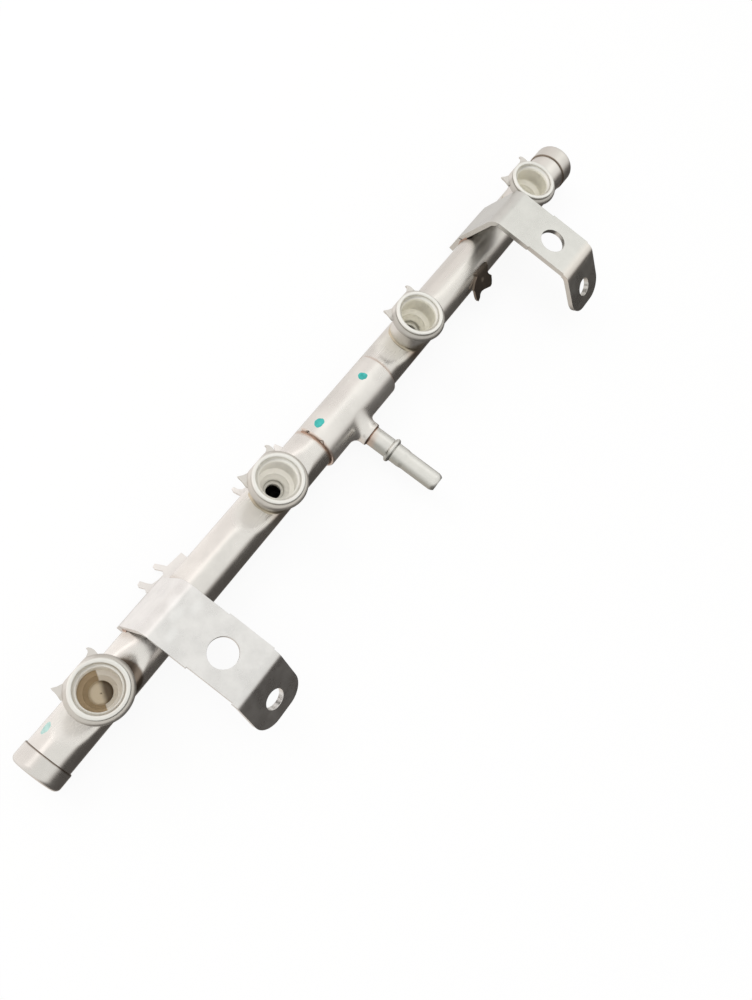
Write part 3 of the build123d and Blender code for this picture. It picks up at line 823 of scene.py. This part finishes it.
class RAIL_OT_dress_cups(bpy.types.Operator):
    """Gives each injector cup its drawn skin, stains and painted light and shade, and each clip plate its
    finish
    """

    bl_idname = "rail.dress_cups"
    bl_label = "Dress the cups and clip plates"

    def execute(self, context):
        s = context.scene.rail_steel
        for i, x in enumerate(CUP_X):
            self.cup(s, i, x)
            self.plate(s, i)
        return {"FINISHED"}

    def cup(self, s, i, x):
        centre = (x, RAIL_Y)
        inside = WELL_PAINTED_LIGHT_PALE if i < PALER_CUPS else WELL_PAINTED_LIGHT_BEIGE
        # painted light: the inside of the cup is paler than its outside
        well = Fence([((x, RAIL_Y, RIM_Z - 1.6), DOWN, 1.2)], inside, 1.0, ragged=0.0)
        stains = self.wall_shade_and_stains(s, x) + [well.within(centre, WELL_R)]
        stains += self.filled_pilot(x) if i == 0 else self.clear_pilot(x)
        matt = Fence([((x, RAIL_Y, RIM_Z - 1.5), DOWN, 1.6)], s.cup_colour, 0.38, ragged=0.0)
        metal = steel(f"cup_steel_{i + 1}", s.cup_colour, s.cup_roughness, stains, grain=(80, 80, 1400),
                      rings=(x, RAIL_Y, 0.55), metallic=s.satin, blotch=0.03,
                      matt=[matt.within(centre, WELL_R)])
        put(f"injector_cup_{i + 1}", metal)
        pilot = FILLED_PILOT if i == 0 else CLEAR_PILOT
        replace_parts(drawn_cup(f"drawn_cup_{i + 1}", x, pilot, metal), f"injector_cup_{i + 1}")

    def wall_shade_and_stains(self, s, x):
        """The wall under the lip painted darker as shade, the straw at the cup's foot and the dark scale on
        its front.
        """
        straw = shade(s.straw_colour, 1.05)
        return [
            # painted shade: the cup's wall below the lip is darker than the lip
            Fence([((x, RAIL_Y, RIM_Z - 1.9), DOWN, 1.0)], (0.68, 0.655, 0.62), 1.0, ragged=0.1),
            Spot((x, RAIL_Y, SEAT_Z - 1.0), 2.6, 6.0, straw, 0.45, (0.3, 0.3, 1), ragged=0.8),
            Spot((x - 2.5, RAIL_Y - 7.5, SEAT_Z + 0.3), 1.5, 6.0, (0.20, 0.155, 0.10), 0.85, ragged=0.9),
        ]

    def filled_pilot(self, x):
        """Tan scale on one half of the cone and over the pilot's floor, darker to one side as painted shadow.
        """
        centre, pilot_top = (x, RAIL_Y), (x, RAIL_Y, RIM_Z - PILOT_TOP)
        half_cone = [((x, RAIL_Y, RIM_Z - 8.6), (-0.25, 0.17, -1), 1.4),
                     ((x + 0.45, RAIL_Y - 0.3, 0), (-0.83, 0.56, 0), 0.5), (pilot_top, (0, 0, 1), 0.3)]
        floor = [(pilot_top, DOWN, 0.4)]
        # painted shadow on one side of the pilot's floor
        dark_side = floor + [((x + 0.9, RAIL_Y, 0), (0.83, -0.56, 0), 2.4)]
        return [
            Fence(half_cone, (0.44, 0.33, 0.20), 0.95, ragged=0.35).within(centre, WELL_R),
            Fence(floor, (0.66, 0.57, 0.43), 0.95, ragged=0.1).within(centre, PILOT_R),
            Fence(dark_side, (0.12, 0.09, 0.06), 0.95, ragged=0.2).within(centre, PILOT_R),
        ]

    def clear_pilot(self, x):
        """The open pilot is painted darker than the cone above it, as shade in the recess."""
        # painted shade on the pilot's wall below the cone
        dull = Fence([((x, RAIL_Y, RIM_Z - PILOT_TOP - 0.3), DOWN, 0.8)], (0.45, 0.44, 0.40), 0.6, ragged=0.1)
        return [dull.within((x, RAIL_Y), PILOT_R)]

    def plate(self, s, i):
        """The clip plate is painted dark as shade under the cup's lip, and paler on its horns behind the cup.
        """
        horns = [Fence([((0, RAIL_Y + 8.2, 0), (0, 1, 0), 1.2)], (0.64, 0.615, 0.58), 1.0, ragged=0.2)]
        # painted shade: the plate under the lip is darker than the steel
        colour = PLATE_SHADE_PALE if i < PALER_CUPS else PLATE_SHADE_DARK
        metal = steel(f"plate_steel_{i + 1}", colour, s.cup_roughness, horns, grain=(500, 500, 500),
                      metallic=0.85)
        put(f"clip_plate_{i + 1}", metal)


class RAIL_OT_dress_inlet(bpy.types.Operator):
    """Gives the inlet pad its drawn neck and copper tint, and the spigot its flanks painted dark as shade"""

    bl_idname = "rail.dress_inlet"
    bl_label = "Dress the inlet"

    def execute(self, context):
        s = context.scene.rail_steel
        self.pad(s)
        self.spigot(s)
        return {"FINISHED"}

    def pad(self, s):
        stains = [Spot((x, RAIL_Y, RAIL_Z), 0.25, 1.1, (0.55, 0.41, 0.33), 0.6, (1, 0.02, 0.02), ragged=0.35)
                  for x in (PAD_X0, PAD_X1)]
        collar = (SPIGOT_X + 1.5, RAIL_Y - 15.4, RAIL_Z + 3)
        stains.append(Spot(collar, 1.0, 4.0, (0.66, 0.53, 0.45), 0.6, ragged=0.8))
        metal = steel("saddle_steel", s.tube_colour, s.roughness + 0.05, stains, grain=(70, 700, 700),
                      grain_depth=FINE_GRAIN, metallic=0.93)
        put("inlet_saddle", metal)
        skin = mesh_piece("drawn_saddle", saddle_mesh(), metal)
        keep_flats(skin)
        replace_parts(skin, "inlet_saddle")

    def spigot(self, s):
        near_flank_shade = [((SPIGOT_X - 1.6, 0, RAIL_Z), (-1, 0, -0.35), 2.6)]
        far_flank_shade = [((SPIGOT_X + 2.9, 0, RAIL_Z), (1, 0, -0.35), 1.4)]
        root = (SPIGOT_X - 2.5, RAIL_Y - 15.6, RAIL_Z + 1)
        # painted shade: both flanks of the spigot darkened, the near one more; the root's spot is braze tint
        stains = [Fence(near_flank_shade, (0.36, 0.36, 0.325), 0.8, ragged=0.1),
                  Fence(far_flank_shade, (0.50, 0.50, 0.46), 0.7, ragged=0.1),
                  Spot(root, 1.2, 4.2, (0.60, 0.45, 0.36), 0.7, (0.6, 1, 0.6), ragged=0.5)]
        metal = steel("spigot_steel", shade(s.cup_colour, 0.93), s.roughness + 0.1, stains,
                      grain=(700, 60, 700), metallic=0.9)
        put("inlet_spigot", metal)


class RAIL_OT_dress_brackets(bpy.types.Operator):
    """Gives the mounting brackets the dull shine of pressed strip and broken edges, with painted light and
    shade
    """

    bl_idname = "rail.dress_brackets"
    bl_label = "Dress the brackets"

    def execute(self, context):
        s = context.scene.rail_steel
        pale_spots = [Spot((x, y, 0), 0.8, 3.2, (0.86, 0.86, 0.85), 0.4, (0.8, 1.3, 0.2), ragged=1.0, grain=380)
                  for x, y in PALE_SPOTS]
        # painted light: the near bracket's strip is lighter than its own colour
        metal = steel("bracket_steel_near", shade(s.bracket_colour, 1.07), s.roughness + 0.05, pale_spots,
                      grain=(300, 300, 300), grain_depth=FINE_GRAIN, cloud_scale=110)
        put("mounting_bracket_near", metal)
        # painted highlight along the far bracket's bend, warm in colour
        bend_highlight = [Spot((BRACKET_X[1], -15, 0), 1.0, 4.5, (0.80, 0.73, 0.66), 0.5, (0.05, 1, 1), ragged=0.6)]
        # painted shade: the far bracket's strip is darker than its own colour
        shaded_darker = shade(s.bracket_colour, 0.87, 0.875, 0.85)
        metal = steel("bracket_steel_far", shaded_darker, s.roughness + 0.04, bend_highlight, grain=(300, 300, 300))
        put("mounting_bracket_far", metal)
        for end in ("near", "far"):
            soften(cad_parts[f"mounting_bracket_{end}"], s.edge_round)
        return {"FINISHED"}


class RAIL_OT_dress_clips(bpy.types.Operator):
    """Gives the harness clips their finish, bright but for the far one painted dark as shade, with broken
    edges
    """

    bl_idname = "rail.dress_clips"
    bl_label = "Dress the harness clips"

    def execute(self, context):
        s = context.scene.rail_steel
        # painted highlight where a facet of the far clip catches light
        facet_highlight = Spot((203, 14, -21), 0.4, 1.6, (0.55, 0.48, 0.40), 0.8, ragged=0.5)
        # painted shade: the far clip is dark brown-grey, the others bright
        bright, dark = (0.80, 0.765, 0.74), (0.21, 0.175, 0.145)
        for place, colour, stains in (("near", bright, []), ("mid", bright, []), ("far", dark, [facet_highlight])):
            node = f"harness_clip_{place}"
            metal = steel(f"{node}_steel", colour, s.roughness + 0.08, stains, grain=(400, 400, 400))
            put(node, metal)
            soften(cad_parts[node], s.edge_round)
        return {"FINISHED"}


# ---------------------------------------------------------------- braze
# The span that the phases of an uneven edge are drawn from, in radians
PHASE_SPAN = 6.28

# The joint round a cup's foot and round the spigot, as radii, and how far round the tube, in degrees from
# the back over the crest, the braze runs at the pad's ends and the brackets' feet
CUP_JOINT_R = 8.05
SPIGOT_JOINT_R = 4.24
PAD_EDGE_TURN = (40, 220)
FOOT_EDGE_TURN = (-8, 36)

# How many strips a fillet has across, how hollow it is (1 is a plain bevel), and how deep it lies at a cup
BRAZE_SECTIONS = 5
HOLLOW = 1.6
CUP_JOINT_SINK = 0.05


def braze_rows(bm, points, outward, up, size, wobble, rng):
    """Rows of a concave fillet laid along the points of a joint, its legs uneven in size.

    outward and up give, at each point, the two directions that the fillet's legs lie along."""
    rows = []
    shares = [k / BRAZE_SECTIONS for k in range(BRAZE_SECTIONS + 1)]
    phases = [rng.uniform(0, PHASE_SPAN) for _ in range(4)]
    for i, point in enumerate(points):
        t = math.tau * i / len(points)
        swell = 0.5 * math.sin(2 * t + phases[0]) + 0.35 * math.sin(5 * t + phases[1])
        swell += 0.25 * math.sin(11 * t + phases[2])
        leg = size * (1 + wobble * swell)
        out, rise = outward[i] * leg, up[i] * leg
        rows.append([bm.verts.new(point + out * (1 - f) ** HOLLOW + rise * f ** HOLLOW) for f in shares])
    return rows


def braze_bead(name, joint, size, s, rng, material, closed=True):
    """One bead of braze from the points of a joint and the directions of its legs."""
    bm = bmesh.new()
    points, outward, up = zip(*joint)
    rows = braze_rows(bm, points, outward, up, size, s.wobble, rng)
    for a, b in zip(rows, rows[1:] + (rows[:1] if closed else [])):
        for k in range(len(a) - 1):
            bm.faces.new((a[k], b[k], b[k + 1], a[k + 1]))
    mesh_piece(name, bm, material)


class RAIL_OT_braze_joints(bpy.types.Operator):
    """Lays the braze fillets round the cups, the pad, the brackets and the inlet"""

    bl_idname = "rail.braze_joints"
    bl_label = "Braze the joints"

    def execute(self, context):
        s = context.scene.rail_braze
        rng = random.Random(s.seed)
        coarse = (500, 500, 500)
        nickel = steel("nickel_braze", s.colour, 0.35, grain=coarse, grain_depth=0.00005, blotch=0.16)
        copper = steel("copper_braze", s.copper_colour, 0.36, grain=coarse, grain_depth=0.00006, blotch=0.2,
                       cloud_scale=240)
        for i, x in enumerate(CUP_X):
            braze_bead(f"cup_braze_{i + 1}", self.cup_joint(x), s.fillet * 1.25, s, rng, nickel)
        for end, x, side in (("near", PAD_X0, -1), ("far", PAD_X1, 1)):
            joint = self.edge_joint(x, side, PAD_EDGE_TURN, 60)
            braze_bead(f"pad_braze_{end}", joint, s.fillet * 0.7, s, rng, copper, closed=False)
        for bracket in BRACKET_X:
            for end, side in (("a", -1), ("b", 1)):
                x = bracket + side * HALF_STRIP
                joint = self.edge_joint(x, side, FOOT_EDGE_TURN, 24)
                name = f"foot_braze_{int(round(x))}_{end}".replace("-", "m")
                braze_bead(name, joint, s.fillet * 0.7, s, rng, copper, closed=False)
        braze_bead("spigot_braze", self.spigot_joint(), s.fillet * 0.75, s, rng, copper)
        return {"FINISHED"}

    def cup_joint(self, x, steps=96, reach=0.15):
        """Round a cup's foot, where the braze leans on the tube out to this share of the radius."""
        joint = []
        for k in range(steps):
            a = math.tau * k / steps
            px, py = CUP_JOINT_R * math.cos(a), CUP_JOINT_R * math.sin(a)
            rise = on_tube(px * (1 + reach), py * (1 + reach)) - on_tube(px, py)
            outward = Vector((math.cos(a), math.sin(a), rise / (CUP_JOINT_R * reach))).normalized()
            point = Vector((x + px, RAIL_Y + py, on_tube(px, py) - CUP_JOINT_SINK)) * MM
            joint.append((point, outward, Vector((0, 0, 1))))
        return joint

    def edge_joint(self, x, side, turn, count):
        """Along an edge that is wrapped round the tube, from one angle to the other."""
        joint = []
        for k in range(count):
            angle = turn[0] + (turn[1] - turn[0]) * k / (count - 1)
            up = (tube_point(x, angle, TUBE_R + 1) - tube_point(x, angle)).normalized()
            joint.append((tube_point(x, angle), Vector((side, 0, 0)), up))
        return joint

    def spigot_joint(self, steps=48):
        """Round the spigot where it leaves the collar."""
        joint = []
        for k in range(steps):
            a = math.tau * k / steps
            outward = Vector((1, 0, 0)) * math.cos(a) + SPIGOT_UP * math.sin(a)
            joint.append((neck_point(SPIGOT_JOINT_R, COLLAR_END, a), outward, SPIGOT_AXIS))
        return joint


# ---------------------------------------------------------------- paint
# Name, place along the rail, way off the crest, half length and half width in mm, steel's radius and paint
DOTS = (
    ("paint_dot_near", 94.75, 3.4, 2.25, 2.0, PAD_R, "fresh"),
    ("paint_dot_far", 122.9, 2.35, 2.0, 1.8, PAD_R, "fresh"),
    ("paint_dot_worn", -51.1, 6.5, 2.3, 1.5, TUBE_R, "worn"),
    ("paint_speck_a", 117.9, 5.6, 0.34, 0.3, PAD_R, "speck"),
    ("paint_speck_b", 103.0, 4.4, 0.38, 0.34, PAD_R, "speck"),
)
# How fine a dot's dome is, and how deep its edge is sunk, in metres
DOT_RINGS = 7
DOT_POINTS = 40
DOT_SINK = 0.000006


class RAIL_OT_paint_dots(bpy.types.Operator):
    """Dabs the turquoise inspection dots on the pad and the tube"""

    bl_idname = "rail.paint_dots"
    bl_label = "Dab the paint dots"

    def execute(self, context):
        s = context.scene.rail_paint
        rng = random.Random(3)
        paints = {
            "fresh": self.paint("dot_paint", s.colour, 0.38),
            "worn": self.paint("worn_dot_paint", s.pale_colour, 0.5),
            "speck": self.paint("speck_paint", (0.78, 0.78, 0.72), 0.5),
        }
        for name, x, y_off, half_x, half_y, radius, paint in DOTS:
            self.dab(name, x, y_off, half_x, half_y, radius, paints[paint], s.lift, rng)
        return {"FINISHED"}

    def paint(self, name, colour, rough):
        n = Nodes(name)
        cloud = n.noise(420, 4, 0.6)
        deep = shade(colour, 0.8)
        pale = tuple(min(1, c * 1.15 + 0.03) for c in colour)
        n.link(n.mix(n.ramp(cloud, 0.3, 0.7), deep, pale), n.bsdf.inputs["Base Color"])
        n.link(n.ramp(cloud, 0.3, 0.7, rough - 0.08, rough + 0.1), n.bsdf.inputs["Roughness"])
        n.bump(n.noise(900, 3), 0.3, 0.00003)
        return n.mat

    def dab(self, name, x, y_off, half_x, half_y, radius, material, lift, rng):
        """One domed dot with an uneven outline, its edge sunk just under the steel's skin."""
        bm = bmesh.new()
        start = math.asin(y_off / radius)
        phases = [rng.uniform(0, PHASE_SPAN) for _ in range(3)]
        rows = []
        for j in range(1, DOT_RINGS + 1):
            f = j / DOT_RINGS
            height = lift * (1 - f ** 6) - DOT_SINK
            row = []
            for k in range(DOT_POINTS):
                a = math.tau * k / DOT_POINTS
                edge = 1 + 0.07 * math.sin(2 * a + phases[0]) + 0.06 * math.sin(3 * a + phases[1])
                edge += 0.03 * math.sin(7 * a + phases[2])
                along = half_x * f * edge * math.cos(a)
                turn = start + half_y * f * edge * math.sin(a) / radius
                out = Vector((0, math.sin(turn), math.cos(turn))) * (radius * MM + height)
                row.append(bm.verts.new(Vector((x + along, RAIL_Y, RAIL_Z)) * MM + out))
            rows.append(row)
        for a, b in zip(rows, rows[1:]):
            for k in range(DOT_POINTS):
                m = (k + 1) % DOT_POINTS
                bm.faces.new((a[k], a[m], b[m], b[k]))
        bm.faces.new(rows[0])
        bmesh.ops.recalc_face_normals(bm, faces=bm.faces)
        mesh_piece(name, bm, material)


# ---------------------------------------------------------------- studio
# The plane of the bright strip overhead, and how steeply the room's dark part leans at its front and back
STRIP_NORMAL = (0.58, 0.666, -0.471)
FRONT_LEAN = 0.755
BACK_LEAN = 1.6
# Half the floor's width, how far it lies under the rail, and where the lamps point, in metres
FLOOR_HALF = 6.0
FLOOR_GAP = 0.0002
LAMP_AIM = (0.1, 0.02, -0.02)


class Room(Nodes):
    """The same short calls for the world's node tree."""

    def __init__(self, tree):
        self.tree = tree
        self.back = tree.nodes["Background"]

    def place(self):
        return self.new("ShaderNodeTexCoord").outputs["Generated"]

    def direction(self):
        parts = self.new("ShaderNodeSeparateXYZ")
        self.link(self.place(), parts.inputs[0])
        return parts.outputs["X"], parts.outputs["Y"], parts.outputs["Z"]

    def across(self, normal):
        """How far a direction leans out of the plane with this normal."""
        dot = self.new("ShaderNodeVectorMath", operation="DOT_PRODUCT")
        self.link(self.place(), dot.inputs[0])
        dot.inputs[1].default_value = normal
        return self.maths("ABSOLUTE", dot.outputs["Value"])


class RAIL_OT_set_studio(bpy.types.Operator):
    """Lays the pale floor and sets the soft lights and the camera"""

    bl_idname = "rail.set_studio"
    bl_label = "Set the studio"

    def execute(self, context):
        s = context.scene.rail_studio
        self.floor()
        self.world(s)
        self.lights(s)
        self.camera(context, s)
        context.scene.view_settings.view_transform = "Standard"
        return {"FINISHED"}

    def floor(self):
        bm = bmesh.new()
        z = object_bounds()[0].z - FLOOR_GAP
        corners = ((-1, -1), (1, -1), (1, 1), (-1, 1))
        bm.faces.new([bm.verts.new((a * FLOOR_HALF, b * FLOOR_HALF, z)) for a, b in corners])
        data = bpy.data.meshes.new("studio_floor")
        bm.to_mesh(data)
        bm.free()
        obj = bpy.data.objects.new("studio_floor", data)
        bpy.context.scene.collection.objects.link(obj)
        obj.visible_glossy = False
        obj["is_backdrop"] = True
        n = Nodes("studio_floor")
        n.bsdf.inputs["Base Color"].default_value = (0.9, 0.9, 0.9, 1)
        n.bsdf.inputs["Roughness"].default_value = 0.8
        n.bsdf.inputs["Specular IOR Level"].default_value = 0.0
        path = n.new("ShaderNodeLightPath")
        seen = n.maths("MAXIMUM", path.outputs["Is Camera Ray"], path.outputs["Is Glossy Ray"])
        seen = n.maths("MAXIMUM", seen, path.outputs["Is Transmission Ray"])
        glow = n.new("ShaderNodeEmission")
        glow.inputs["Color"].default_value = (1, 1, 1, 1)
        glow.inputs["Strength"].default_value = 1.0
        mix = n.new("ShaderNodeMixShader")
        n.link(n.maths("MULTIPLY", seen, 0.9), mix.inputs[0])
        n.link(n.bsdf.outputs[0], mix.inputs[1])
        n.link(glow.outputs[0], mix.inputs[2])
        n.link(mix.outputs[0], n.out.inputs["Surface"])
        data.materials.append(n.mat)

    def world(self, s):
        """White to the eye, even for matt paint, and a lit room with one dark side for the steel."""
        world = bpy.data.worlds.new("studio")
        bpy.context.scene.world = world
        world.use_nodes = True
        room = Room(world.node_tree)
        x, y, z = room.direction()
        leans = [room.maths("MULTIPLY", y, steepness) for steepness in (FRONT_LEAN, BACK_LEAN)]
        dark = room.ramp(room.maths("ADD", z, room.any_of(leans)), -0.56, -0.02, 1.0, 0.0)
        shadow = room.maths("MULTIPLY", dark, self.dark_depth(room, s, x, y))
        level = room.maths("MULTIPLY", self.lit_level(room, x, y, z), room.left(shadow))
        warm = room.mix(room.ramp(y, 0.1, 0.6), (1.0, 1.0, 0.98), (1.0, 0.965, 0.945))
        warm = room.mix(dark, warm, (1.0, 0.92, 0.85))
        path = room.new("ShaderNodeLightPath")
        seen = room.maths("MAXIMUM", path.outputs["Is Camera Ray"], path.outputs["Is Transmission Ray"])
        glossy = path.outputs["Is Glossy Ray"]
        colour = room.mix(glossy, (1.0, 0.99, 0.975), warm)
        colour = room.mix(seen, colour, (1.0, 1.0, 1.0))
        matt_light = room.maths("MULTIPLY", room.left(glossy), s.fill)
        strength = room.maths("ADD", room.maths("MULTIPLY", glossy, level), matt_light)
        strength = room.maths("MAXIMUM", strength, seen)
        room.link(colour, room.back.inputs["Color"])
        room.link(strength, room.back.inputs["Strength"])

    def lit_level(self, room, x, y, z):
        """The lit room's level, with a bright strip overhead, a brighter back and a dimmer far end."""
        strip = room.ramp(room.across(STRIP_NORMAL), 0.05, 0.2, 0.4, 0.0)
        strip = room.maths("MULTIPLY", strip, room.ramp(z, 0.45, 0.65))
        side = room.maths("MULTIPLY", room.ramp(y, 0.4, 0.6, 0.0, 0.15), room.ramp(x, 0.2, 0.45, 1.0, 0.0))
        end = room.maths("MULTIPLY", room.ramp(x, 0.3, 0.5, 0.0, -0.12), room.ramp(z, 0.1, 0.3, 1.0, 0.0))
        return room.maths("ADD", room.maths("ADD", strip, side), room.maths("ADD", end, 1.0))

    def dark_depth(self, room, s, x, y):
        """How dark the dark part is: one share on the unlit side, and another on the floor."""
        floor = room.maths("MULTIPLY", room.ramp(x, -0.35, 0.25, 0.25, 1.0), s.dark_floor)
        unlit = room.ramp(y, -0.4, -0.1, 1.0, 0.0)
        return room.maths("ADD", room.maths("MULTIPLY", unlit, s.dark_side),
                          room.maths("MULTIPLY", room.left(unlit), floor))

    def lights(self, s):
        self.area("key", (0.05, 0.75, 0.75), 0.5, 0.35, s.key, (1.0, 0.985, 0.97))
        self.area("top", (-0.1, 0.1, 1.1), 0.6, 0.6, s.key * 0.8, (1.0, 0.99, 0.98))

    def area(self, name, place, width, height, power, colour):
        light = bpy.data.lights.new(name, "AREA")
        light.shape = "RECTANGLE"
        light.size = width
        light.size_y = height
        light.energy = power
        light.color = colour
        obj = bpy.data.objects.new(name, light)
        bpy.context.scene.collection.objects.link(obj)
        obj.location = place
        obj.rotation_mode = "QUATERNION"
        obj.rotation_quaternion = (Vector(LAMP_AIM) - Vector(place)).to_track_quat("-Z", "Y")
        obj.visible_glossy = False

    def camera(self, context, s):
        data = bpy.data.cameras.new("camera")
        data.lens = s.lens
        data.sensor_width = 36.0
        data.clip_start = 0.01
        data.clip_end = 50
        obj = bpy.data.objects.new("camera", data)
        context.scene.collection.objects.link(obj)
        turn = Matrix((CAMERA_RIGHT, CAMERA_UP, CAMERA_BACK)).transposed().to_4x4()
        obj.matrix_world = Matrix.Translation(Vector(s.place)) @ turn
        context.scene.camera = obj


class RAIL_PT_panel(bpy.types.Panel):
    """Settings and steps of the fuel rail's finish"""

    bl_idname = "RAIL_PT_panel"
    bl_label = "Fuel Rail"
    bl_space_type = "VIEW_3D"
    bl_region_type = "UI"
    bl_category = "Fuel Rail"

    def draw(self, context):
        layout = self.layout
        scene = context.scene
        for group, names in (
            (scene.rail_steel, ("tube_colour", "cup_colour", "bracket_colour", "tint_colour", "straw_colour",
                                "roughness", "cup_roughness", "satin", "edge_round")),
            (scene.rail_braze, ("fillet", "wobble", "colour", "copper_colour", "seed")),
            (scene.rail_paint, ("colour", "pale_colour", "lift")),
            (scene.rail_studio, ("lens", "place", "key", "fill", "dark_side", "dark_floor")),
        ):
            for name in names:
                layout.prop(group, name)
        for operator in STEPS:
            layout.operator(operator.bl_idname)


STEPS = (
    RAIL_OT_dress_tube, RAIL_OT_dress_cups, RAIL_OT_dress_inlet, RAIL_OT_dress_brackets,
    RAIL_OT_dress_clips, RAIL_OT_braze_joints, RAIL_OT_paint_dots, RAIL_OT_set_studio,
)
GROUPS = {
    "rail_steel": RailSteel,
    "rail_braze": RailBraze,
    "rail_paint": RailPaint,
    "rail_studio": RailStudio,
}


def register():
    for group in GROUPS.values():
        bpy.utils.register_class(group)
    for name, group in GROUPS.items():
        setattr(bpy.types.Scene, name, PointerProperty(type=group))
    for operator in STEPS:
        bpy.utils.register_class(operator)
    bpy.utils.register_class(RAIL_PT_panel)


def unregister():
    bpy.utils.unregister_class(RAIL_PT_panel)
    for operator in reversed(STEPS):
        bpy.utils.unregister_class(operator)
    for name in GROUPS:
        delattr(bpy.types.Scene, name)
    for group in GROUPS.values():
        bpy.utils.unregister_class(group)


def main():
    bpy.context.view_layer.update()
    register()
    for name in ("Cube", "Light", "Camera"):
        if name in bpy.data.objects:
            bpy.data.objects.remove(bpy.data.objects[name])
    bpy.ops.rail.dress_tube()
    bpy.ops.rail.dress_cups()
    bpy.ops.rail.dress_inlet()
    bpy.ops.rail.dress_brackets()
    bpy.ops.rail.dress_clips()
    bpy.ops.rail.braze_joints()
    bpy.ops.rail.paint_dots()
    bpy.ops.rail.set_studio()
    bpy.context.view_layer.update()


if __name__ == "__main__":
    main()
